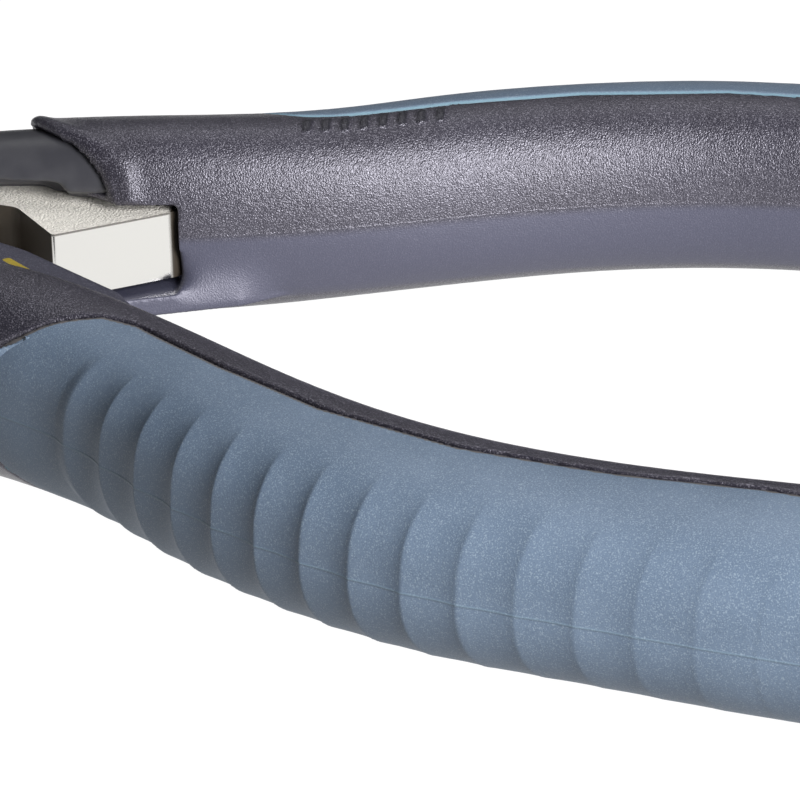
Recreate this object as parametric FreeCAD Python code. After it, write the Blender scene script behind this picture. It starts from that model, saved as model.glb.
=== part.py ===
import FreeCAD, Part
import math
import os

from FreeCAD import Vector

# Fishing pliers, lying flat. The pivot's axis is Z, the handles point to +X and the jaws to -X.
# The origin is on the pivot's axis, in the middle plane of the joint. Millimetres and degrees.
# Both halves are the same design. "The half" below is drawn shut: its jaw on the -Y side, its lap
# boss under the middle plane and its handle on the +Y side. The far half is that one swung open.
# The near half is the same half turned over about X, and then swung open the other way.

# ---- driving dimensions ----
OPEN_ANGLE = 14.5        # how far each half stands from shut in the rest pose
CLEARANCE = 0.35         # between one half's boss and the other half's full-thickness metal
MATING_GAP = 0.1         # from the middle line to each jaw's face when shut

# joint
HEAD_HALF = 5.5          # half the forging's thickness at the joint
LAP_GAP = 0.05           # from the middle plane to each boss's face
BOSS_R = 11.5
BOLT_R = 3.5
BOLT_RUNNING_FIT = 0.05  # radial, in the far half
BOLT_HEAD_R = 6.2
BOLT_HEAD_SINK = 1.0
BOLT_HEAD_HEIGHT = 1.8
BOLT_HEAD_EDGE = 0.5
HEX_SOCKET_FLATS = 4.0
HEX_SOCKET_DEPTH = 1.2
NUT_R = 6.0
NUT_THICK = 2.2
NUT_SLOT_WIDTH = 1.2
NUT_SLOT_DEPTH = 0.8
WASHER_THICK = 0.5
COUNTERBORE_R = 6.3
COUNTERBORE_DEPTH = 2.2
THRUST_GAP = 0.05

# return spring, in a ring-shaped pocket shared by the two bosses
POCKET_INNER_R = 5.2
POCKET_OUTER_R = 8.8
POCKET_HALF = 1.6
SPRING_WIRE_R = 0.5
SPRING_MEAN_R = 7.0
SPRING_TURNS = 1.75
SPRING_PITCH = 1.15
SPRING_LEG = 3.0
LEG_SLOT_HALF_WIDTH = 0.7

# jaw
JAW_TIP_X = -66.0
JAW_TIP_HALF = 2.6       # half the thickness at the tip
TAPER_START_X = -24.0
TOOTH_PITCH = 1.6
TOOTH_DEPTH = 0.45
TOOTH_COUNT = 17
TOOTH_FIRST_X = -61.0
BULGE_X = -28.5          # round recess behind the teeth
BULGE_R = 4.2
BULGE_OFFSET = 1.8
FORGING_CHAMFER = 0.7

# cutter
BLADE_BACK_X = -13.6
BLADE_FRONT_X = -22.0
BLADE_DEPTH = 8.0
BLADE_HALF = 1.6
BLADE_BEVEL = 1.2
BLADE_LAND_HALF = 0.15
RELIEF_DROP = 4.0
SCREW_X = -17.8
SCREW_Y = -5.6
SCREW_R = 1.2
SCREW_HEAD_R = 2.2
SCREW_HEAD_DEEP = 1.3
SCREW_SLOT_HALF_WIDTH = 0.3
SCREW_SLOT_DEPTH = 0.6

# tang
TANG_TOP = 2.3           # the tang lies nearer the covered side
TANG_BOTTOM = -4.4
TANG_END_X = 76.0
LOCK_HOLE_R = 2.0        # holes that the core's plastic fills
LOCK_HOLES = ((48.0, 14.2), (66.0, 18.6))

# handle. Stations are (x, centre y, inner half width, outer half width, half height), when shut.
STATIONS = (
    (12.5, 12.4, 5.4, 6.6, 8.3),
    (20.0, 11.8, 5.6, 7.3, 9.0),
    (30.0, 11.2, 5.8, 7.9, 9.5),
    (40.0, 12.0, 5.8, 8.4, 9.3),
    (50.0, 14.2, 6.1, 9.0, 9.0),
    (60.0, 17.4, 6.6, 9.7, 9.0),
    (72.0, 20.2, 6.8, 10.3, 8.9),
    (86.0, 20.9, 6.4, 11.0, 8.8),
    (100.0, 18.8, 5.5, 11.4, 8.8),
    (112.0, 16.1, 4.9, 12.2, 9.1),
    (119.0, 14.6, 4.8, 12.4, 9.1),
)
TAIL_X = 136.0           # the rounded end of the handle
TAIL_Y = 13.6
TAIL_STEPS = 5
SECTION_POINTS = 20
SECTION_POWER = 2.35     # 2 is an ellipse, and more is squarer
CORE_INSET = 3.0
CORE_FROM_X = 20.0
CORE_TO_X = 84.0
NECK_INSET = 0.9
NECK_TO_X = 40.0
WINDOW_STEP_X = 23.1     # the neck's edge stands higher over the tang in front of this
WINDOW_END_X = 28.9
WINDOW_FRONT_Y = 10.7
WINDOW_BACK_Y = 8.2
WINDOW_FRONT_Z = 4.7
WINDOW_BACK_Z = 3.75
NECK_TUCK = Vector(1.5, 1.0, 0)  # how far the neck reaches under the collar
PAD_THICK = 2.6
PLATE_FACE = 7.2         # from the middle plane to the cover plate's outer face
NOTCH_ROOM = 0.85        # above and below the tang
NOTCH_END_X = 34.2
LANYARD_X = 128.0
LANYARD_Y = 15.5
LANYARD_R = 2.5
TALL = 30.0              # half height of every cutting prism


# ---- small tools ----
def rounded_face(corners, z):
    """Flat face at height z from (x, y, corner radius) triples."""
    edges = []
    ends = []
    count = len(corners)
    for i in range(count):
        x, y, radius = corners[i]
        here = Vector(x, y, z)
        back = (Vector(*corners[i - 1][:2], z) - here).normalize()
        ahead = (Vector(*corners[(i + 1) % count][:2], z) - here).normalize()
        if radius == 0:
            ends.append((here, here))
            continue
        half = back.getAngle(ahead) / 2
        reach = radius / math.tan(half)
        middle = (back + ahead).normalize()
        start = here + back * reach
        end = here + ahead * reach
        crown = here + middle * (radius / math.sin(half) - radius)
        edges.append((i, Part.Arc(start, crown, end).toShape()))
        ends.append((start, end))
    arcs = dict(edges)
    loop = []
    for i in range(count):
        if i in arcs:
            loop.append(arcs[i])
        start = ends[i][1]
        end = ends[(i + 1) % count][0]
        if start.distanceToPoint(end) > 1e-6:
            loop.append(Part.makeLine(start, end))
    return Part.Face(Part.Wire(loop))


def prism(corners, low, high):
    """Upright block on a rounded outline."""
    return rounded_face(corners, low).extrude(Vector(0, 0, high - low))


def rod(x, y, radius, low, high):
    return Part.makeCylinder(radius, high - low, Vector(x, y, low))


def box(x0, x1, y0, y1, z0, z1):
    return Part.makeBox(x1 - x0, y1 - y0, z1 - z0, Vector(x0, y0, z0))


def turned(shape, angle, axis=Vector(0, 0, 1)):
    moved = shape.copy()
    moved.rotate(Vector(0, 0, 0), axis, angle)
    return moved


def far(shape):
    """The half as it stands in the far half at rest."""
    return turned(shape, OPEN_ANGLE)


def near(shape):
    """The half turned over, as it stands in the near half at rest."""
    return turned(turned(shape, 180, Vector(1, 0, 0)), -OPEN_ANGLE)


def save(name, shape):
    """Write one node, as a clean solid or a group of solids."""
    solids = shape.Solids
    result = solids[0] if len(solids) == 1 else Part.makeCompound(solids)
    ok = result.isValid()
    print(f"{name:20s} solids {len(solids)} volume {result.Volume:9.1f} valid {ok}")
    result.exportStep(f"parts/{name}.step")


# ---- the forged half ----
def jaw_block():
    """The tapered jaw in front of the joint."""
    plan = prism(
        (
            (-6.0, -MATING_GAP, 0),
            (JAW_TIP_X, -MATING_GAP, 0),
            (JAW_TIP_X, -2.6, 1.2),
            (-42.0, -5.6, 40),
            (-24.0, -9.6, 25),
            (-14.0, -13.2, 6),
            (-5.0, -12.2, 2),
            (-4.0, -6.0, 0),
        ),
        -HEAD_HALF,
        HEAD_HALF,
    )
    side = Part.makePolygon(
        [
            Vector(0, -TALL, -HEAD_HALF),
            Vector(0, -TALL, HEAD_HALF),
            Vector(TAPER_START_X, -TALL, HEAD_HALF),
            Vector(JAW_TIP_X - 1, -TALL, JAW_TIP_HALF),
            Vector(JAW_TIP_X - 1, -TALL, -JAW_TIP_HALF),
            Vector(TAPER_START_X, -TALL, -HEAD_HALF),
            Vector(0, -TALL, -HEAD_HALF),
        ]
    )
    return plan.common(Part.Face(side).extrude(Vector(0, 2 * TALL, 0)))


def tooth_cutters():
    """One V groove for each tooth, straight across the jaw's face."""
    cutters = []
    for i in range(TOOTH_COUNT):
        x = TOOTH_FIRST_X + i * TOOTH_PITCH
        groove = (
            (x - TOOTH_PITCH / 2, 0.3, 0),
            (x, -MATING_GAP - TOOTH_DEPTH, 0),
            (x + TOOTH_PITCH / 2, 0.3, 0),
        )
        cutters.append(prism(groove, -TALL, TALL))
    return cutters


def blade_profile(x):
    """The blade's outline across the jaw, in the plane at x."""
    points = [
        (-BLADE_DEPTH, -BLADE_HALF),
        (-BLADE_DEPTH, BLADE_HALF),
        (-BLADE_BEVEL - MATING_GAP, BLADE_HALF),
        (-MATING_GAP, BLADE_LAND_HALF),
        (-MATING_GAP, -BLADE_LAND_HALF),
        (-BLADE_BEVEL - MATING_GAP, -BLADE_HALF),
    ]
    loop = [Vector(x, y, z) for y, z in points + points[:1]]
    return Part.Face(Part.makePolygon(loop))


def blade_space():
    return box(BLADE_FRONT_X, BLADE_BACK_X, -BLADE_DEPTH, 1, -BLADE_HALF, BLADE_HALF)


def blade_relief(side):
    """Slope beside the blade that lets the line reach its edge."""
    loop = [
        Vector(BLADE_FRONT_X, 1, side * BLADE_HALF),
        Vector(BLADE_FRONT_X, -BLADE_BEVEL, side * BLADE_HALF),
        Vector(BLADE_FRONT_X, -RELIEF_DROP, side * (HEAD_HALF + 0.1)),
        Vector(BLADE_FRONT_X, 1, side * (HEAD_HALF + 0.1)),
        Vector(BLADE_FRONT_X, 1, side * BLADE_HALF),
    ]
    return Part.Face(Part.makePolygon(loop)).extrude(Vector(BLADE_BACK_X - BLADE_FRONT_X, 0, 0))


def tang_block():
    """Flat tang: the stop corner near the middle line, the bright flank, then the buried tongue."""
    return prism(
        (
            (4.0, 8.0, 0),
            (15.0, 8.7, 0),
            (18.6, 7.5, 2),
            (22.9, 0.55, 0.4),
            (33.6, 6.35, 0),
            (36.0, 8.4, 0),
            (46.0, 11.0, 30),
            (62.0, 15.2, 30),
            (TANG_END_X, 18.0, 2),
            (TANG_END_X, 22.0, 2),
            (60.0, 20.6, 30),
            (40.0, 14.8, 40),
            (22.0, 14.4, 20),
            (6.0, 11.6, 2),
        ),
        TANG_BOTTOM,
        TANG_TOP,
    )


def web_block():
    """Full-thickness lower web from the boss to the tang's root."""
    return prism(((3.0, 4.0, 0), (12.5, 4.0, 2), (17.0, 8.4, 1.5), (16.5, 13.0, 2), (5.0, 11.2, 2)), -HEAD_HALF, 0)


def spring_pocket():
    ring = rod(0, 0, POCKET_OUTER_R, -POCKET_HALF, 0)
    ring = ring.cut(rod(0, 0, POCKET_INNER_R, -POCKET_HALF, 0))
    slot = box(0, SPRING_LEG + 1.0, SPRING_MEAN_R - LEG_SLOT_HALF_WIDTH,
               SPRING_MEAN_R + LEG_SLOT_HALF_WIDTH, -POCKET_HALF, 0)
    return ring.fuse(slot)


def forged_half():
    """Jaw, boss and tang of one half, without its pivot hole."""
    outside_joint = rod(0, 0, BOSS_R + CLEARANCE, -LAP_GAP, TALL)
    boss = rod(0, 0, BOSS_R, -HEAD_HALF, -LAP_GAP)
    rim = [e for e in boss.Edges if abs(e.BoundBox.ZMax + HEAD_HALF) < 1e-6 and e.Length > 1]
    boss = boss.makeChamfer(FORGING_CHAMFER, rim)
    jaw = jaw_block()
    for cutter in tooth_cutters():
        jaw = jaw.cut(cutter)
    jaw = jaw.cut(rod(BULGE_X, BULGE_OFFSET, BULGE_R, -TALL, TALL))
    jaw = jaw.cut(blade_relief(1)).cut(blade_relief(-1)).cut(blade_space())
    jaw = jaw.cut(cutter_screw_shape())
    metal = jaw.fuse(web_block()).fuse(tang_block())
    metal = metal.cut(outside_joint).fuse(boss)
    for x, y in LOCK_HOLES:
        metal = metal.cut(rod(x, y, LOCK_HOLE_R, -TALL, TALL))
    metal = metal.cut(spring_pocket())
    return metal.removeSplitter()


def far_jaw(metal):
    """The far half's forging, with the running hole and the counterbore for the nut."""
    floor = -HEAD_HALF + COUNTERBORE_DEPTH
    shape = metal.cut(rod(0, 0, BOLT_R + BOLT_RUNNING_FIT, -TALL, TALL))
    return far(shape.cut(rod(0, 0, COUNTERBORE_R, -TALL, floor)))


def near_jaw(metal):
    """The near half's forging, with the tight hole and the recess for the bolt's head."""
    shape = metal.cut(rod(0, 0, BOLT_R, -TALL, TALL))
    return near(shape.cut(rod(0, 0, BOLT_HEAD_R, -TALL, -HEAD_HALF + BOLT_HEAD_SINK)))


# ---- joint pieces ----
def nut_heights():
    top = -HEAD_HALF + COUNTERBORE_DEPTH - THRUST_GAP
    return top, top - WASHER_THICK, top - WASHER_THICK - NUT_THICK


def hex_prism(flats, low, high):
    corner = flats / math.sqrt(3)
    points = [Vector(corner * math.cos(math.radians(60 * i)), corner * math.sin(math.radians(60 * i)), low)
              for i in range(7)]
    return Part.Face(Part.makePolygon(points)).extrude(Vector(0, 0, high - low))


def pivot_bolt():
    seat = HEAD_HALF - BOLT_HEAD_SINK
    head_top = seat + BOLT_HEAD_HEIGHT
    head = rod(0, 0, BOLT_HEAD_R, seat, head_top)
    rim = [e for e in head.Edges if abs(e.BoundBox.ZMin - head_top) < 1e-6 and e.Length > 1]
    head = head.makeChamfer(BOLT_HEAD_EDGE, rim)
    bolt = head.fuse(rod(0, 0, BOLT_R, nut_heights()[2], seat))
    return bolt.cut(hex_prism(HEX_SOCKET_FLATS, head_top - HEX_SOCKET_DEPTH, head_top + 1))


def pivot_washer():
    top, bottom, _ = nut_heights()
    return rod(0, 0, NUT_R, bottom, top).cut(rod(0, 0, BOLT_R, bottom, top))


def pivot_nut():
    _, top, bottom = nut_heights()
    nut = rod(0, 0, NUT_R, bottom, top).cut(rod(0, 0, BOLT_R, bottom, top))
    slot = box(-TALL, TALL, -NUT_SLOT_WIDTH / 2, NUT_SLOT_WIDTH / 2, bottom, bottom + NUT_SLOT_DEPTH)
    ring_only = slot.cut(rod(0, 0, BOLT_R, bottom, top))
    return nut.cut(ring_only)


def spring_arc(half_turn, sweep):
    """Up to half a turn of the coil: a flat arc, tilted so that its far end stands half a pitch higher."""
    arc = Part.makeTorus(SPRING_MEAN_R, SPRING_WIRE_R, Vector(0, 0, 0), Vector(0, 0, 1), -180, 180, sweep)
    tilt = math.degrees(math.asin(SPRING_PITCH / 4 / SPRING_MEAN_R))
    arc = turned(turned(arc, tilt, Vector(0, 1, 0)), 90 + OPEN_ANGLE + 180 * half_turn)
    arc.translate(Vector(0, 0, (half_turn + 0.5 - SPRING_TURNS) * SPRING_PITCH / 2))
    return arc


def spring_point(turns):
    """Centre of the wire after this many turns from the coil's lower end, and the way round there."""
    angle = math.radians(90 + OPEN_ANGLE + 360 * turns)
    level = (turns - SPRING_TURNS / 2) * SPRING_PITCH
    point = Vector(SPRING_MEAN_R * math.cos(angle), SPRING_MEAN_R * math.sin(angle), level)
    return point, Vector(-math.sin(angle), math.cos(angle), 0)


def return_spring():
    """Torsion spring: its lower leg lies in the far boss and its upper leg in the near boss."""
    pieces = []
    for half_turn in range(math.ceil(2 * SPRING_TURNS)):
        sweep = min(180, 360 * SPRING_TURNS - 180 * half_turn)
        pieces.append(spring_arc(half_turn, sweep))
        pieces.append(Part.makeSphere(SPRING_WIRE_R, spring_point(half_turn / 2)[0]))
    for turns, forward in ((0, -1), (SPRING_TURNS, 1)):
        foot, along = spring_point(turns)
        pieces.append(Part.makeSphere(SPRING_WIRE_R, foot))
        pieces.append(Part.makeCylinder(SPRING_WIRE_R, SPRING_LEG, foot, along * forward))
    return pieces[0].multiFuse(pieces[1:]).removeSplitter()


# ---- cutter pieces ----
def cutter_screw_shape():
    shank = rod(SCREW_X, SCREW_Y, SCREW_R, -HEAD_HALF, HEAD_HALF - SCREW_HEAD_DEEP)
    cone = Part.makeCone(SCREW_R, SCREW_HEAD_R, SCREW_HEAD_DEEP,
                         Vector(SCREW_X, SCREW_Y, HEAD_HALF - SCREW_HEAD_DEEP))
    return shank.fuse(cone)


def cutter_screw():
    slot = box(SCREW_X - TALL, SCREW_X + TALL, SCREW_Y - SCREW_SLOT_HALF_WIDTH, SCREW_Y + SCREW_SLOT_HALF_WIDTH,
               HEAD_HALF - SCREW_SLOT_DEPTH, HEAD_HALF + 1)
    return cutter_screw_shape().cut(slot)


def cutter_blade():
    blade = blade_profile(BLADE_FRONT_X).extrude(Vector(BLADE_BACK_X - BLADE_FRONT_X, 0, 0))
    return blade.cut(rod(SCREW_X, SCREW_Y, SCREW_R, -TALL, TALL))


# ---- handle mouldings ----
def signed_power(value, power):
    return math.copysign(abs(value) ** power, value)


def all_stations():
    """The drawn stations and those of the rounded tail, which shrink as a quarter ellipse."""
    rows = list(STATIONS)
    x0, y0, inner, outer, half = STATIONS[-1]
    for i in range(1, TAIL_STEPS + 1):
        part_way = math.sin(math.pi / 2 * i / (TAIL_STEPS + 0.35))
        size = math.sqrt(1 - part_way ** 2)
        x = x0 + (TAIL_X - x0) * part_way
        y = y0 + (TAIL_Y - y0) * part_way
        rows.append((x, y, inner * size, outer * size, half * size))
    return rows


def section_wire(row, slope, inset):
    """Closed egg-shaped section, square to the handle's centre line."""
    x, y, inner, outer, half = row
    length = math.hypot(1, slope)
    across = Vector(-slope / length, 1 / length, 0)
    points = []
    for i in range(SECTION_POINTS):
        angle = 2 * math.pi * i / SECTION_POINTS
        c = signed_power(math.cos(angle), 2 / SECTION_POWER)
        s = signed_power(math.sin(angle), 2 / SECTION_POWER)
        width = (outer if c > 0 else inner) - inset
        points.append(Vector(x, y, 0) + across * (width * c) + Vector(0, 0, (half - inset) * s))
    curve = Part.BSplineCurve()
    curve.interpolate(points, PeriodicFlag=True)
    return Part.Wire(curve.toShape())


def handle_body(inset, from_x=0.0, to_x=TAIL_X):
    """The handle's outer skin, moved inwards by inset, between two stations."""
    rows = all_stations()
    wires = []
    for i, row in enumerate(rows):
        if not from_x - 1e-6 <= row[0] <= to_x + 1e-6:
            continue
        before = rows[max(i - 1, 0)]
        after = rows[min(i + 1, len(rows) - 1)]
        slope = (after[1] - before[1]) / (after[0] - before[0])
        wires.append(section_wire(row, slope, inset))
    return Part.makeLoft(wires, True, False)


def in_front_of_collar():
    """Space on the pivot's side of the collar, above the cover plate."""
    return prism(
        (
            (0.0, 30.0, 0),
            (0.0, -10.0, 0),
            (31.5, -10.0, 0),
            (29.8, 5.0, 8),
            (25.9, 7.7, 20),
            (22.4, 10.2, 6),
            (19.4, 13.6, 3),
            (19.0, 30.0, 0),
        ),
        TANG_BOTTOM,
        TALL,
    )


def tang_window():
    """Open space under the neck's edge, over the tang's bare face."""
    front = box(0, WINDOW_STEP_X, -TALL, WINDOW_FRONT_Y, TANG_BOTTOM, WINDOW_FRONT_Z)
    back = box(0, WINDOW_END_X, -TALL, WINDOW_BACK_Y, TANG_BOTTOM, WINDOW_BACK_Z)
    return front.fuse(back)


def cover_plate():
    """Plate over the whole root of the tang, on the covered side."""
    return prism(
        (
            (11.5, 6.4, 1),
            (16.2, 2.8, 6),
            (22.0, 1.2, 4),
            (27.0, 1.8, 10),
            (40.0, 5.6, 0),
            (46.0, 9.4, 0),
            (46.0, 14.0, 0),
            (12.0, 14.0, 2),
        ),
        -PLATE_FACE,
        TANG_BOTTOM,
    )


def notch():
    """Open space round the bare edge of the tang, ending where its flank goes into the handle."""
    return prism(
        (
            (11.0, -6.0, 0),
            (NOTCH_END_X, -6.0, 0),
            (NOTCH_END_X, 8.0, 0.5),
            (28.0, 9.0, 1),
            (22.6, 9.6, 1),
            (20.8, 12.2, 1),
            (11.0, 12.2, 0),
        ),
        TANG_BOTTOM - NOTCH_ROOM,
        TANG_TOP + NOTCH_ROOM,
    )


def pad_plan():
    """Outer side of the handle, where the soft pad lies."""
    outline = [(31.5, 40.0, 0), (32.5, 19.6, 3), (39.0, 17.4, 8), (45.0, 13.6, 8)]
    middle = [(x, y + 0.3, 0) for x, y, inner, outer, half in STATIONS if 49 < x < 115]
    ending = [(120.0, 15.6, 3), (123.0, 20.0, 3), (124.0, 40.0, 0)]
    return prism(outline + middle + ending, -TALL, TALL)


def handle_pieces(metal):
    """Core, shell and pad of one handle, for the half drawn shut."""
    skin = handle_body(0)
    pad = skin.common(pad_plan()).cut(handle_body(PAD_THICK))
    collar = in_front_of_collar()
    tucked = collar.copy()
    tucked.translate(NECK_TUCK)
    neck = handle_body(NECK_INSET, 0, NECK_TO_X).common(tucked)
    core = neck.fuse(handle_body(CORE_INSET, CORE_FROM_X, CORE_TO_X + 4))
    core = core.cut(tang_window()).cut(notch()).cut(metal).cut(pad)
    own_boss = rod(0, 0, BOSS_R + CLEARANCE, -TALL, TALL)
    shell = skin.cut(collar).fuse(cover_plate())
    shell = shell.cut(notch()).cut(own_boss).cut(metal).cut(core).cut(pad)
    shell = shell.cut(rod(LANYARD_X, LANYARD_Y, LANYARD_R, -TALL, TALL))
    # The cuts leave a loose sliver beside the tang, so the shell is the largest solid.
    return core, max(shell.Solids, key=lambda solid: solid.Volume), pad


def main():
    os.makedirs("parts", exist_ok=True)
    metal = forged_half()
    save("far_jaw", far_jaw(metal))
    save("near_jaw", near_jaw(metal))
    save("pivot_bolt", pivot_bolt())
    save("pivot_washer", pivot_washer())
    save("pivot_nut", pivot_nut())
    save("return_spring", return_spring())
    for side, place in (("far", far), ("near", near)):
        save(side + "_cutter_blade", place(cutter_blade()))
        save(side + "_cutter_screw", place(cutter_screw()))
    core, shell, pad = handle_pieces(metal)
    for side, place in (("far", far), ("near", near)):
        save(side + "_handle_core", place(core))
        save(side + "_handle_shell", place(shell))
        save(side + "_grip_pad", place(pad))


main()
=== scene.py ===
import math

import bpy
import numpy as np
from mathutils import Matrix, Vector


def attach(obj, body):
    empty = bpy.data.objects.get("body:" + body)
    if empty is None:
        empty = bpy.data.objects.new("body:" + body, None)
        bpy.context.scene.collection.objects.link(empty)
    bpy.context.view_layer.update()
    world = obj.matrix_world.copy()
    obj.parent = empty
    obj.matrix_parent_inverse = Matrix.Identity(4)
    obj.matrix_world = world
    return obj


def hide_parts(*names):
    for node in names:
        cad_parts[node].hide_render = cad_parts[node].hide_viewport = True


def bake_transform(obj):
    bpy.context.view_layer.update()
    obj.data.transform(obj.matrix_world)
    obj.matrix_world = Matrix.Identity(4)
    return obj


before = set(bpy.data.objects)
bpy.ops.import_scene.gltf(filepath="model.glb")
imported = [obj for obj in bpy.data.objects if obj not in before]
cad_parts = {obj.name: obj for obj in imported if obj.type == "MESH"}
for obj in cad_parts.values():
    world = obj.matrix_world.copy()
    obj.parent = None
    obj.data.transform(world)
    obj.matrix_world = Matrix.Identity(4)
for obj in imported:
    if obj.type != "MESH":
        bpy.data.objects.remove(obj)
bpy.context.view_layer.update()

# The row frame is in metres. The pivot's axis is Z, the handles point to +X and the jaws to -X.
# "The half" is one half of the pliers drawn shut, with its handle on the +Y side and the side that
# leaves the tang bare towards +Z. Lengths in this script that end in _MM, and every coordinate of
# the half, are millimetres.
MM = 0.001
OPEN_ANGLE = math.radians(14.5)
SIDES = {"far": 1, "near": -1}
BODIES = {"far": "far_half", "near": "near_half"}

# Handle sections: x, centre y, inner half width, outer half width, half height.
STATIONS = np.array((
    (12.5, 12.4, 5.4, 6.6, 8.3),
    (20.0, 11.8, 5.6, 7.3, 9.0),
    (30.0, 11.2, 5.8, 7.9, 9.5),
    (40.0, 12.0, 5.8, 8.4, 9.3),
    (50.0, 14.2, 6.1, 9.0, 9.0),
    (60.0, 17.4, 6.6, 9.7, 9.0),
    (72.0, 20.2, 6.8, 10.3, 8.9),
    (86.0, 20.9, 6.4, 11.0, 8.8),
    (100.0, 18.8, 5.5, 11.4, 8.8),
    (112.0, 16.1, 4.9, 12.2, 9.1),
    (119.0, 14.6, 4.8, 12.4, 9.1),
    (136.0, 13.6, 4.8, 12.4, 9.1),
))
SECTION_POWER = 2.35

# Outline of the soft pad, seen from above.
PAD_FRONT = (
    (31.5, 40.0), (32.0, 22.5), (33.0, 20.1), (35.0, 18.6), (38.3, 17.4), (41.0, 15.9), (45.0, 14.0),
    (49.0, 14.1),
)
PAD_BACK = ((119.4, 15.4), (121.2, 16.6), (123.0, 20.0), (124.0, 40.0))

# Edge of the collar, seen from above.
COLLAR_LINE = (
    (19.3, 20.0), (19.4, 14.4), (20.0, 12.9), (22.2, 10.4), (25.6, 7.8), (28.6, 6.0), (30.3, 2.6),
)
COLLAR_TO_X = 33.0
COLLAR_FROM_Z = 3.4
BEAD_HEIGHT_MM = 0.3
BEAD_BEHIND_EDGE_MM = 0.8
BEAD_SPREAD_MM = 0.9

# Finger scoops: 13 whole ones and a last one that fades out, shallower from the fifth on.
RIB_FIRST_MM = 45.8
RIB_PITCH_MM = 5.1
RIB_COUNT = 14
RIB_DEPTH_MM = 0.62
RIB_FADES_AFTER = 4
RIB_FADE = 0.7
RIB_CURVE_MM = 0.4        # how far a scoop's ends lie behind its middle, 60 degrees round
RIB_EXTRA_CURVE_MM = 3.4  # the same, added for the first ones
RIB_EXTRA_CURVE_DECAY = 3.0
# Degrees round the handle between which the scoops run out.
RIB_REACH_COVERED = (28, 62)
RIB_REACH_BARE = (36, 66)

# The pad's border: a groove, painted dark as its shadow, and a rim on the covered side; a rounding and a
# bevel, painted light as a highlight, on the bare side.
GROOVE_MM = 0.45
GROOVE_DEPTH_MM = 0.8
RIM_END_MM = 0.85
ROUNDING_MM = 0.7
ROUNDING_DEPTH_MM = 0.3
BEVEL_END_MM = (0.45, 0.6)
COVERED_BELOW_Z = -1.0

# The row of raised bars and the two printed bars.
TALLY_SPAN_MM = (45.6, 59.9)
TALLY_PITCH_MM = 1.79
TALLY_HEIGHT_MM = 0.22
PRINT_START = (26.4, 5.4)
PRINT_END = (31.4, 7.4)
PRINT_APART_MM = 0.9
PRINT_HALF_WIDTH_MM = 0.4
PRINT_BLUR_MM = 0.25
PRINT_END_BLUR_MM = 0.2
PRINT_BELOW_Z = -6.0
PLATE_FACE_Z = -7.6

# Voxel size in millimetres and rounds of smoothing for each handle piece.
SHELL_MESH = (0.25, 2)
CORE_MESH = (0.28, 3)
PAD_MESH = (0.22, 2)
NECK_ROUNDS = 12
NECK_PULL = 0.6
PLATE_ROUNDS = 120
PLATE_PULL = 0.9
COLLAR_ROUNDS = 7
COLLAR_PULL = 0.8
COLLAR_REACH_MM = 1.3

# Painted shade on the tang: the upright faces of its root, for a facet in shadow, and from SHADE_X on, in
# place of the handle's shade.
ROOT_X = (12.4, 22.85)
SHADE_X = (33.2, 33.5)
FLANK_METAL = (0.72, 0.71, 0.68)
BLASTED_METAL = (1.0, 0.96, 0.88)
PAINTED_METAL_SHADE = (0.028, 0.020, 0.012)

LIT_POINT_MM = (70, 0, 0)
FLOOR_LEVEL = -0.0097
FLOOR_HALF = 6.0
WORLD_STRENGTH = 0.085
LENS_MM = 228.4
SENSOR_MM = 36.0
CAMERA_PLACE_MM = (196.41, -401.15, 182.73)


# ---- from the row frame to the half, and the shape of the handle ----
def to_half(points, side):
    """Millimetre coordinates in the half drawn shut, from row frame metres."""
    p = points / MM
    if side < 0:
        p = p * np.array((1.0, -1.0, -1.0))
    c, s = math.cos(OPEN_ANGLE), math.sin(OPEN_ANGLE)
    return np.stack((p[:, 0] * c + p[:, 1] * s, -p[:, 0] * s + p[:, 1] * c, p[:, 2]), axis=1)


def smoothstep(low, high, value):
    """0 below low, 1 above high, and a smooth rise between."""
    t = np.clip((value - low) / (high - low), 0, 1)
    return t * t * (3 - 2 * t)


def way_round(points):
    """Angle round the handle's section in degrees: 0 on its outer side and 180 on its inner side."""
    x, y, z = points.T
    middle, inner, outer, half = (np.interp(x, STATIONS[:, 0], STATIONS[:, i]) for i in range(1, 5))
    across = (y - middle) / np.where(y > middle, outer, inner)
    power = SECTION_POWER / 2
    u = np.sign(across) * np.abs(across) ** power
    v = np.sign(z) * np.abs(z / half) ** power
    return np.degrees(np.arctan2(v, u))


def plan_distance(points, line):
    """Distance in plan from each point to an open line of (x, y) corners."""
    best = np.full(len(points), np.inf)
    corners = np.array(line)
    for a, b in zip(corners[:-1], corners[1:]):
        along = b - a
        part = np.clip((points[:, :2] - a) @ along / (along @ along), 0, 1)
        best = np.minimum(best, np.linalg.norm(points[:, :2] - a - part[:, None] * along, axis=1))
    return best


def pad_outline():
    """The pad's whole border in plan, which follows the middle of the handle between its ends."""
    middle = [(x, y + 0.3) for x, y in STATIONS[:, :2] if 49 < x < 115]
    return list(PAD_FRONT) + middle + list(PAD_BACK)


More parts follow.
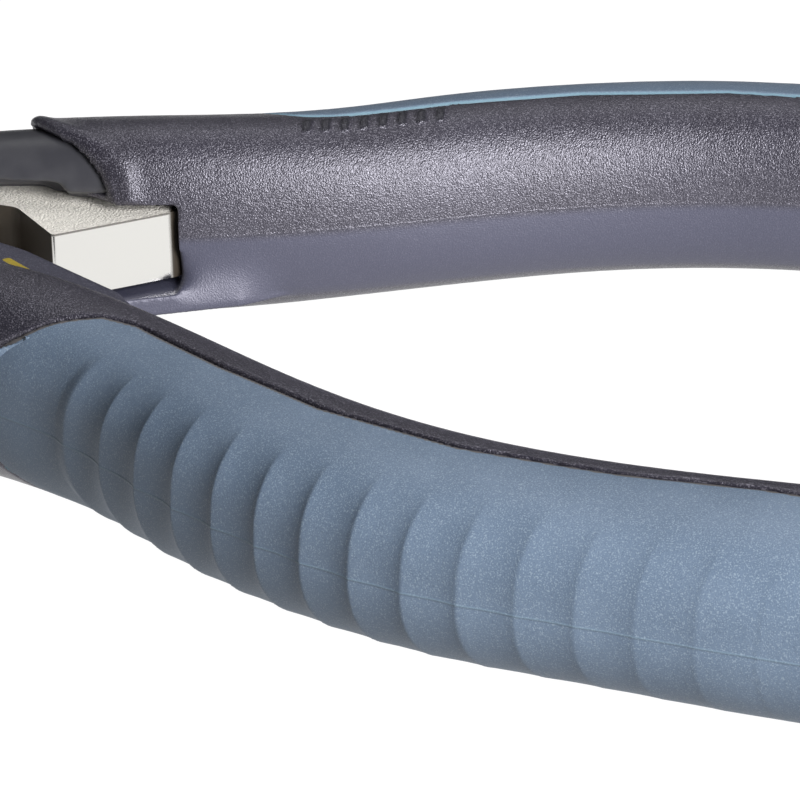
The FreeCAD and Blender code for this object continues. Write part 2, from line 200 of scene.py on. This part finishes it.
def rib_depth(points):
    """How deep the finger scoops lie.

    Each falls slowly behind its crest and rises steeply to the next.
    """
    turn = np.abs(way_round(points))
    along = (points[:, 0] - RIB_FIRST_MM) / RIB_PITCH_MM
    extra = np.exp(-np.clip(along, 0, None) / RIB_EXTRA_CURVE_DECAY)
    curve = RIB_CURVE_MM + RIB_EXTRA_CURVE_MM * extra
    place = along - curve * (turn / 60) ** 2 / RIB_PITCH_MM
    part = place - np.floor(place)
    scoop = 1.9 * part ** 1.15 * (1 - part) ** 0.75
    before_first = 0.5 * smoothstep(-1.7, -0.5, place) * (1 - smoothstep(-0.35, 0.0, place))
    after_last = 0.5 * (1 - smoothstep(RIB_COUNT - 1.0, RIB_COUNT + 0.5, place)) * part
    depth = np.where(place < RIB_COUNT - 1, scoop, after_last)
    depth = np.where(place < 0, before_first, depth)
    size = 1 - RIB_FADE * smoothstep(RIB_FADES_AFTER, RIB_COUNT - 1, place)
    covered = 1 - smoothstep(*RIB_REACH_COVERED, turn)
    bare = 1 - smoothstep(*RIB_REACH_BARE, turn)
    reach = np.where(points[:, 2] < 0, covered, bare)
    return RIB_DEPTH_MM * size * reach * depth


# ---- meshes ----
def coordinates(mesh):
    """Vertex coordinates in row frame metres."""
    flat = np.empty(len(mesh.vertices) * 3, dtype=np.float32)
    mesh.vertices.foreach_get("co", flat)
    return flat.reshape(-1, 3).astype(float)


def normals(mesh):
    flat = np.empty(len(mesh.vertices) * 3, dtype=np.float32)
    mesh.vertex_normals.foreach_get("vector", flat)
    return flat.reshape(-1, 3).astype(float)


def set_coordinates(mesh, points):
    mesh.vertices.foreach_set("co", points.astype(np.float32).ravel())
    mesh.update()


def add_values(mesh, name, values):
    layer = mesh.attributes.new(name, "FLOAT", "POINT")
    layer.data.foreach_set("value", values.astype(np.float32))


def remeshed(node, name, voxel_mm, smoothing):
    """A new evenly meshed copy of a CAD node, with its edges softened."""
    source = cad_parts[node]
    obj = bpy.data.objects.new(name, source.data.copy())
    bpy.context.scene.collection.objects.link(obj)
    grid = obj.modifiers.new("even", "REMESH")
    grid.mode = "VOXEL"
    grid.voxel_size = voxel_mm * MM
    soft = obj.modifiers.new("soften", "SMOOTH")
    soft.factor = 0.5
    soft.iterations = smoothing
    shape = obj.evaluated_get(bpy.context.evaluated_depsgraph_get())
    mesh = bpy.data.meshes.new_from_object(shape)
    obj.modifiers.clear()
    obj.data = mesh
    mesh.materials.clear()
    mesh.polygons.foreach_set("use_smooth", [True] * len(mesh.polygons))
    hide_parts(node)
    return obj


def relax(mesh, weight, rounds):
    """Laplacian smoothing of the vertices whose weight isn't 0."""
    edges = np.empty(len(mesh.edges) * 2, dtype=np.int32)
    mesh.edges.foreach_get("vertices", edges)
    edges = edges.reshape(-1, 2)
    edges = edges[(weight[edges] > 0).any(axis=1)]
    touched, local = np.unique(edges, return_inverse=True)
    local = local.reshape(-1, 2)
    starts = np.concatenate((local[:, 0], local[:, 1]))
    ends = np.concatenate((local[:, 1], local[:, 0]))
    count = np.bincount(starts, minlength=len(touched))[:, None]
    every = coordinates(mesh)
    here = every[touched]
    pull = weight[touched][:, None]
    for _ in range(rounds):
        total = np.stack([np.bincount(starts, here[ends, i], len(touched)) for i in range(3)], axis=1)
        here = here + pull * (total / count - here)
    every[touched] = here
    set_coordinates(mesh, every)


def moved_out(obj, side, height):
    """Moves every vertex along its normal by height(points of the half, normals), in millimetres."""
    mesh = obj.data
    start = coordinates(mesh)
    facing = normals(mesh)
    amount = height(to_half(start, side), to_half(facing * MM, side))
    set_coordinates(mesh, start + facing * (amount * MM)[:, None])


# ---- materials ----
class Nodes:
    """Short way to wire up one material."""

    def __init__(self, name):
        self.material = bpy.data.materials.new(name)
        self.material.use_nodes = True
        self.tree = self.material.node_tree
        self.shader = self.tree.nodes["Principled BSDF"]
        self.place = self.add("ShaderNodeTexCoord").outputs["Object"]

    def add(self, kind, **settings):
        node = self.tree.nodes.new(kind)
        for key, value in settings.items():
            setattr(node, key, value)
        return node

    def join(self, output, socket):
        self.tree.links.new(output, socket)

    def set(self, **values):
        for key, value in values.items():
            self.shader.inputs[key.replace("_", " ")].default_value = value

    def noise(self, size_mm, detail=2.0, stretch=None):
        node = self.add("ShaderNodeTexNoise")
        node.inputs["Scale"].default_value = 1 / (size_mm * MM)
        node.inputs["Detail"].default_value = detail
        place = self.place
        if stretch:
            mapping = self.add("ShaderNodeMapping")
            mapping.inputs["Scale"].default_value = stretch
            self.join(place, mapping.inputs["Vector"])
            place = mapping.outputs["Vector"]
        self.join(place, node.inputs["Vector"])
        return node.outputs["Fac"]

    def value(self, name):
        return self.add("ShaderNodeAttribute", attribute_name=name).outputs["Fac"]

    def math(self, operation, *items):
        """Result of a Math node on outputs or numbers."""
        node = self.add("ShaderNodeMath", operation=operation)
        for socket, item in zip(node.inputs, items):
            if isinstance(item, (int, float)):
                socket.default_value = item
            else:
                self.join(item, socket)
        return node.outputs[0]

    def ramp(self, source, low, high, start=0.0, end=1.0):
        node = self.add("ShaderNodeMapRange", clamp=True)
        for key, number in (("From Min", low), ("From Max", high), ("To Min", start), ("To Max", end)):
            node.inputs[key].default_value = number
        self.join(source, node.inputs["Value"])
        return node.outputs["Result"]

    def blend(self, amount, first, second):
        """Colour between first and second, each a colour or an output."""
        node = self.add("ShaderNodeMix", data_type="RGBA")
        self.join(amount, node.inputs["Factor"])
        for socket, item in ((node.inputs[6], first), (node.inputs[7], second)):
            if isinstance(item, tuple):
                socket.default_value = (*item, 1.0)
            else:
                self.join(item, socket)
        return node.outputs[2]

    def bumps(self, *layers):
        """Bump layers, each (height output, depth in mm)."""
        last = None
        for height, depth_mm in layers:
            node = self.add("ShaderNodeBump")
            node.inputs["Distance"].default_value = depth_mm * MM
            self.join(height, node.inputs["Height"])
            if last is not None:
                self.join(last, node.inputs["Normal"])
            last = node.outputs["Normal"]
        self.join(last, self.shader.inputs["Normal"])


def seam_mask(nodes, half_width_mm):
    """1 on the mould's parting line, in the middle plane."""
    split = nodes.add("ShaderNodeSeparateXYZ")
    nodes.join(nodes.place, split.inputs["Vector"])
    return nodes.ramp(nodes.math("ABSOLUTE", split.outputs["Z"]), 0.0, half_width_mm * MM, 1.0, 0.0)


def shell_material():
    n = Nodes("grained_dark_plastic")
    smooth = n.value("smooth")
    cloud = n.noise(9.0, 2.0)
    colour = n.blend(n.ramp(cloud, 0.35, 0.65), (0.021, 0.019, 0.028), (0.028, 0.026, 0.038))
    # Painted glints: light flecks that stand in for the grain's sparkle in the sheen.
    colour = n.blend(n.ramp(n.noise(0.14, 0.0), 0.55, 0.70, 0.0, 0.50), colour, (0.22, 0.21, 0.25))
    colour = n.blend(n.ramp(smooth, 0.0, 1.0, 0.0, 0.8), colour, (0.058, 0.061, 0.098))
    colour = n.blend(n.ramp(n.value("tally"), 0.3, 0.7, 0.0, 0.95), colour, (0.008, 0.008, 0.012))
    colour = n.blend(n.ramp(n.value("printed"), 0.42, 0.58), colour, (0.42, 0.31, 0.012))
    n.join(colour, n.shader.inputs["Base Color"])
    n.join(n.ramp(smooth, 0.0, 1.0, 0.34, 0.48), n.shader.inputs["Roughness"])
    n.set(Specular_IOR_Level=1.0, Specular_Tint=(0.90, 0.88, 1.0, 1.0))
    grain = n.math("MULTIPLY", n.noise(0.15, 1.0), n.ramp(smooth, 0.0, 1.0, 1.0, 0.45))
    n.bumps((grain, 0.08), (seam_mask(n, 0.16), 0.025))
    return n.material


def neck_material():
    n = Nodes("smooth_dark_plastic")
    colour = n.blend(n.ramp(n.noise(4.0), 0.4, 0.6), (0.040, 0.040, 0.048), (0.052, 0.052, 0.060))
    n.join(colour, n.shader.inputs["Base Color"])
    n.set(Roughness=0.42)
    n.bumps((n.noise(0.6), 0.02))
    return n.material


def pad_material():
    n = Nodes("blue_rubber")
    cloud = n.noise(6.0, 3.0)
    colour = n.blend(n.ramp(cloud, 0.35, 0.65), (0.132, 0.184, 0.262), (0.151, 0.207, 0.291))
    colour = n.blend(n.ramp(n.noise(0.12, 0.0), 0.56, 0.74, 0.0, 0.50), colour, (0.36, 0.44, 0.52))
    colour = n.blend(n.ramp(n.noise(0.13, 1.0), 0.30, 0.45, 0.35, 0.0), colour, (0.07, 0.10, 0.16))
    # Painted highlight: a lighter band on the bare side's rounded edge.
    colour = n.blend(n.ramp(n.value("bevel"), 0.0, 1.0), colour, (0.20, 0.33, 0.41))
    colour = n.blend(n.ramp(n.value("rim"), 0.3, 0.7), colour, (0.13, 0.12, 0.12))
    # Painted shadow: the groove along the covered side's border is coloured nearly black.
    colour = n.blend(n.ramp(n.value("groove"), 0.3, 0.7), colour, (0.012, 0.010, 0.018))
    # Painted highlight: a lighter line on the parting line's small ridge; the ridge itself is the bump below.
    colour = n.blend(n.ramp(seam_mask(n, 0.14), 0.0, 1.0, 0.0, 0.4), colour, (0.22, 0.32, 0.38))
    n.join(colour, n.shader.inputs["Base Color"])
    n.set(Roughness=0.55)
    n.bumps((n.noise(0.3), 0.018), (seam_mask(n, 0.16), 0.05))
    return n.material


def in_half(n):
    """Outputs, in metres: distance from the pivot along a half's shut direction, and height in it."""
    where = n.add("ShaderNodeSeparateXYZ")
    n.join(n.place, where.inputs["Vector"])
    aside = n.math("ABSOLUTE", where.outputs["Y"])
    along = n.math("ADD", n.math("MULTIPLY", where.outputs["X"], math.cos(OPEN_ANGLE)),
                   n.math("MULTIPLY", aside, math.sin(OPEN_ANGLE)))
    return along, n.math("MULTIPLY", where.outputs["Z"], n.math("SIGN", where.outputs["Y"]))


def metal_material(name, flank, blasted, roughness, grain_mm):
    """Bare metal: blasted on faces that look up or down, else ground, with painted shade on the root's
    upright faces and from SHADE_X on, and a painted dark reflection along the flank's top edge.
    """
    n = Nodes(name)
    facing = n.add("ShaderNodeSeparateXYZ")
    n.join(n.add("ShaderNodeTexCoord").outputs["Normal"], facing.inputs["Vector"])
    flat = n.ramp(n.math("ABSOLUTE", facing.outputs["Z"]), 0.90, 0.97)
    along, height = in_half(n)
    root_start, root_end = (place * MM for place in ROOT_X)
    # Painted shade: the upright faces of the tang's root are coloured dark, for a facet in shadow.
    root = n.math("MULTIPLY", n.ramp(along, root_start, root_start + 0.2 * MM),
                  n.ramp(along, root_end - 0.1 * MM, root_end, 1.0, 0.0))
    shadowed = n.ramp(along, *(place * MM for place in SHADE_X))
    # Painted dark reflection: a thin dark line along the top of the ground flank.
    edge = n.math("MULTIPLY", n.ramp(along, root_end - 0.15 * MM, root_end - 0.05 * MM),
                  n.ramp(height, 2.05 * MM, 2.12 * MM, 0.0, 0.85))
    upright = n.ramp(flat, 0.0, 1.0, 1.0, 0.0)
    # All of the metal's painted shade and painted dark reflection, which also make it dull and not metallic.
    dark = n.math("MAXIMUM", n.math("MULTIPLY", n.math("MAXIMUM", root, edge), upright), shadowed)
    grain = n.noise(grain_mm, 1.0)
    speckled = n.blend(n.ramp(grain, 0.35, 0.65), tuple(0.84 * c for c in blasted), blasted)
    colour = n.blend(dark, n.blend(flat, flank, speckled), PAINTED_METAL_SHADE)
    n.join(colour, n.shader.inputs["Base Color"])
    dull = n.math("MAXIMUM", flat, dark)
    n.join(n.ramp(dull, 0.0, 1.0, roughness, 0.55), n.shader.inputs["Roughness"])
    n.join(n.ramp(dull, 0.0, 1.0, 1.0, 0.0), n.shader.inputs["Metallic"])
    n.bumps((n.math("MULTIPLY", grain, flat), 0.16))
    return n.material


def turned_metal(name, colour, roughness):
    """Bright fastener and spring metal with fine marks."""
    n = Nodes(name)
    marks = n.noise(0.25, 2.0, stretch=(1.0, 1.0, 6.0))
    darker = tuple(0.8 * c for c in colour)
    n.join(n.blend(n.ramp(marks, 0.3, 0.7), darker, colour), n.shader.inputs["Base Color"])
    n.join(n.ramp(marks, 0.3, 0.7, roughness, roughness + 0.12), n.shader.inputs["Roughness"])
    n.set(Metallic=1.0)
    n.bumps((marks, 0.006))
    return n.material


# ---- handles ----
def blend_plate(obj, side):
    """Runs the cover plate's end smoothly into the handle behind the notch."""
    x, y, z = to_half(coordinates(obj.data), side).T
    middle = np.interp(x, STATIONS[:, 0], STATIONS[:, 1])
    along = smoothstep(33.8, 35.5, x) * (1 - smoothstep(50, 56, x))
    ledge = smoothstep(-6.4, -5.4, z) * (1 - smoothstep(-3.0, -1.0, z))
    weight = along * ledge * (y < middle - 1)
    relax(obj.data, PLATE_PULL * weight, PLATE_ROUNDS)


def tally_marks(points):
    """A plain row of short bars, raised on the bare side, in place of any lettering."""
    turn = way_round(points)
    start, end = TALLY_SPAN_MM
    part = ((points[:, 0] - start) / TALLY_PITCH_MM) % 1
    row = (points[:, 0] > start) & (points[:, 0] < end)
    bar = smoothstep(0.05, 0.2, part) * (1 - smoothstep(0.5, 0.65, part))
    height = smoothstep(92, 95, turn) * (1 - smoothstep(110, 113, turn))
    return row * bar * height


def printed_marks(points):
    """Two plain printed bars on the cover plate, in place of any print."""
    x, y, z = points.T
    along = np.array(PRINT_END) - np.array(PRINT_START)
    length = np.hypot(*along)
    forward = ((x - PRINT_START[0]) * along[0] + (y - PRINT_START[1]) * along[1]) / length
    aside = np.abs((x - PRINT_START[0]) * along[1] - (y - PRINT_START[1]) * along[0]) / length
    blur = PRINT_END_BLUR_MM
    ends = smoothstep(-blur, blur, forward) * (1 - smoothstep(length - blur, length + blur, forward))
    across = np.abs(aside - PRINT_APART_MM)
    narrow, wide = PRINT_HALF_WIDTH_MM - PRINT_BLUR_MM, PRINT_HALF_WIDTH_MM + PRINT_BLUR_MM
    return (1 - smoothstep(narrow, wide, across)) * ends * (z < PRINT_BELOW_Z)


def shell_values(obj, side):
    """Where the inner side is smooth, between the parting line and the cover plate, and where marks are."""
    points = to_half(coordinates(obj.data), side)
    turn = np.abs(way_round(points))
    height = points[:, 2]
    smooth = smoothstep(95, 115, turn) * smoothstep(PLATE_FACE_Z, PLATE_FACE_Z + 0.8, height)
    add_values(obj.data, "smooth", smooth * (1 - smoothstep(-0.9, 0.2, height)))
    add_values(obj.data, "tally", tally_marks(points))
    add_values(obj.data, "printed", printed_marks(points))


def soften_collar(obj, side):
    """Rounds the collar's edge."""
    points = to_half(coordinates(obj.data), side)
    close = np.exp(-(plan_distance(points, COLLAR_LINE) / COLLAR_REACH_MM) ** 2)
    here = (points[:, 2] > COLLAR_FROM_Z) & (points[:, 0] < COLLAR_TO_X)
    relax(obj.data, COLLAR_PULL * close * here, COLLAR_ROUNDS)


def shell_height(points, facing):
    """Small rounded bead along the collar's edge, and the row of raised bars."""
    near_collar = plan_distance(points, COLLAR_LINE)
    bead = np.exp(-((near_collar - BEAD_BEHIND_EDGE_MM) / BEAD_SPREAD_MM) ** 2)
    here = (points[:, 2] > COLLAR_FROM_Z) & (facing[:, 2] > -0.2) & (points[:, 0] < COLLAR_TO_X)
    return BEAD_HEIGHT_MM * bead * here + TALLY_HEIGHT_MM * tally_marks(points)


def pad_height(points, facing):
    """Finger scoops, a groove along the border on the covered side, and a rounding on the bare one."""
    border = plan_distance(points, pad_outline())
    covered = points[:, 2] < COVERED_BELOW_Z
    groove = (1 - smoothstep(0.6 * GROOVE_MM, GROOVE_MM + 0.1, border)) * covered
    rounding = ROUNDING_DEPTH_MM * (1 - smoothstep(0.0, ROUNDING_MM, border)) * ~covered
    outward = skin_share(points)
    return outward * (-rib_depth(points) - GROOVE_DEPTH_MM * groove - rounding)


def skin_share(points):
    """1 on the handle's outer skin, and 0 on the faces buried under it."""
    x, y, z = points.T
    middle, inner, outer, half = (np.interp(x, STATIONS[:, 0], STATIONS[:, i]) for i in range(1, 5))
    across = np.abs((y - middle) / np.where(y > middle, outer, inner))
    size = (across ** SECTION_POWER + np.abs(z / half) ** SECTION_POWER) ** (1 / SECTION_POWER)
    return smoothstep(0.80, 0.90, size)


def pad_values(obj, side):
    """Where the groove's painted shadow, the rim beside it and the bare side's bevel, painted light as a
    highlight, are.
    """
    points = to_half(coordinates(obj.data), side)
    border = plan_distance(points, pad_outline())
    covered = points[:, 2] < COVERED_BELOW_Z
    groove = (1 - smoothstep(GROOVE_MM - 0.05, GROOVE_MM + 0.05, border)) * covered
    rim = (1 - smoothstep(RIM_END_MM - 0.1, RIM_END_MM + 0.05, border)) * covered
    bevel = (1 - smoothstep(*BEVEL_END_MM, border)) * (points[:, 2] > -COVERED_BELOW_Z)
    add_values(obj.data, "groove", groove)
    add_values(obj.data, "rim", rim)
    add_values(obj.data, "bevel", bevel)


def handle(side_name, finishes):
    """Shell, neck with core, and pad of one handle, each standing for its CAD node."""
    side = SIDES[side_name]
    shell = remeshed(side_name + "_handle_shell", side_name + "_shell_skin", *SHELL_MESH)
    core = remeshed(side_name + "_handle_core", side_name + "_neck_and_core", *CORE_MESH)
    pad = remeshed(side_name + "_grip_pad", side_name + "_pad_skin", *PAD_MESH)
    relax(core.data, np.full(len(core.data.vertices), NECK_PULL), NECK_ROUNDS)
    blend_plate(shell, side)
    soften_collar(shell, side)
    moved_out(shell, side, shell_height)
    shell_values(shell, side)
    moved_out(pad, side, pad_height)
    pad_values(pad, side)
    for obj, slot in ((shell, "dark_shell"), (core, "neck_plastic"), (pad, "pad_rubber")):
        obj.data.materials.append(finishes[slot])
        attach(obj, BODIES[side_name])


def spring(finishes):
    """The coil, a copy of the CAD spring with its transform baked in; its legs don't follow the halves."""
    obj = bpy.data.objects.new("opening_spring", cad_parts["return_spring"].data.copy())
    bpy.context.scene.collection.objects.link(obj)
    obj.data.materials.clear()
    obj.data.materials.append(finishes["spring_steel"])
    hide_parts("return_spring")
    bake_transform(obj)


def paint_metal(finishes):
    """Materials of the pieces that keep their CAD mesh."""
    slots = {
        "near_jaw": "forged_steel", "far_jaw": "forged_steel",
        "near_cutter_blade": "blade_steel", "far_cutter_blade": "blade_steel",
        "near_cutter_screw": "fastener_steel", "far_cutter_screw": "fastener_steel",
        "pivot_bolt": "fastener_steel", "pivot_washer": "fastener_steel", "pivot_nut": "fastener_steel",
    }
    for node, slot in slots.items():
        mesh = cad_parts[node].data
        mesh.materials.clear()
        mesh.materials.append(finishes[slot])


# ---- surroundings ----
def camera():
    """A long lens on the near handle's side, a little towards the open end, from above."""
    right = Vector((0.94885, 0.31473, -0.02509))
    up = Vector((-0.10725, 0.39604, 0.91195))
    back = Vector((0.29695, -0.86261, 0.40954))
    data = bpy.data.cameras.new("camera")
    data.sensor_width = SENSOR_MM
    data.lens = LENS_MM
    data.clip_start = 0.01
    data.clip_end = 20.0
    obj = bpy.data.objects.new("camera", data)
    turn = Matrix((right, up, back)).transposed().to_4x4()
    obj.matrix_world = Matrix.Translation(Vector(CAMERA_PLACE_MM) * MM) @ turn
    bpy.context.scene.collection.objects.link(obj)
    bpy.context.scene.camera = obj


def softbox(name, azimuth, elevation, distance_mm, size_mm, watts):
    """Rectangular lamp aimed at the handles. Azimuth 0 is on the object's -Y side, and 90 on its +X side."""
    data = bpy.data.lights.new(name, "AREA")
    data.shape = "RECTANGLE"
    data.size, data.size_y = (side * MM for side in size_mm)
    data.energy = watts
    a, e = math.radians(azimuth), math.radians(elevation)
    way = Vector((math.sin(a) * math.cos(e), -math.cos(a) * math.cos(e), math.sin(e)))
    obj = bpy.data.objects.new(name, data)
    obj.location = (Vector(LIT_POINT_MM) + way * distance_mm) * MM
    obj.rotation_mode = "QUATERNION"
    obj.rotation_quaternion = (-way).to_track_quat("-Z", "Y")
    bpy.context.scene.collection.objects.link(obj)


def floor():
    """Plain floor that glows white, so that no shadow shows on it. It adds no diffuse light to the pliers."""
    mesh = bpy.data.meshes.new("floor")
    reach, level = FLOOR_HALF, FLOOR_LEVEL
    corners = [(x * reach, y * reach, level) for x, y in ((-1, -1), (1, -1), (1, 1), (-1, 1))]
    mesh.from_pydata(corners, [], [(0, 1, 2, 3)])
    n = Nodes("pale_floor")
    n.set(Base_Color=(0.05, 0.05, 0.05, 1.0), Roughness=0.9, Emission_Color=(1.0, 1.0, 1.0, 1.0),
          Emission_Strength=1.0)
    mesh.materials.append(n.material)
    obj = bpy.data.objects.new("floor", mesh)
    bpy.context.scene.collection.objects.link(obj)
    obj.visible_diffuse = False


def studio():
    """Soft lamps and a faint sky, seen through the plain view transform."""
    world = bpy.data.worlds.new("studio")
    bpy.context.scene.world = world
    world.use_nodes = True
    background = world.node_tree.nodes["Background"]
    background.inputs["Color"].default_value = (0.93, 0.96, 1.0, 1.0)
    background.inputs["Strength"].default_value = WORLD_STRENGTH
    softbox("key", 54, 21, 700, (320, 480), 10.4)
    softbox("high_back", 200, 62, 700, (500, 400), 1.0)
    settings = bpy.context.scene.view_settings
    settings.view_transform = "Standard"
    settings.look = "None"


def main():
    finishes = {
        "dark_shell": shell_material(),
        "neck_plastic": neck_material(),
        "pad_rubber": pad_material(),
        "forged_steel": metal_material("forged_steel_bare", FLANK_METAL, BLASTED_METAL, 0.14, 0.22),
        "fastener_steel": turned_metal("fastener_bright", (0.62, 0.61, 0.60), 0.28),
        "spring_steel": turned_metal("spring_wire", (0.50, 0.50, 0.52), 0.30),
        "blade_steel": turned_metal("blade_ground", (0.70, 0.70, 0.72), 0.20),
    }
    for side_name in SIDES:
        handle(side_name, finishes)
    spring(finishes)
    paint_metal(finishes)
    camera()
    floor()
    studio()


main()
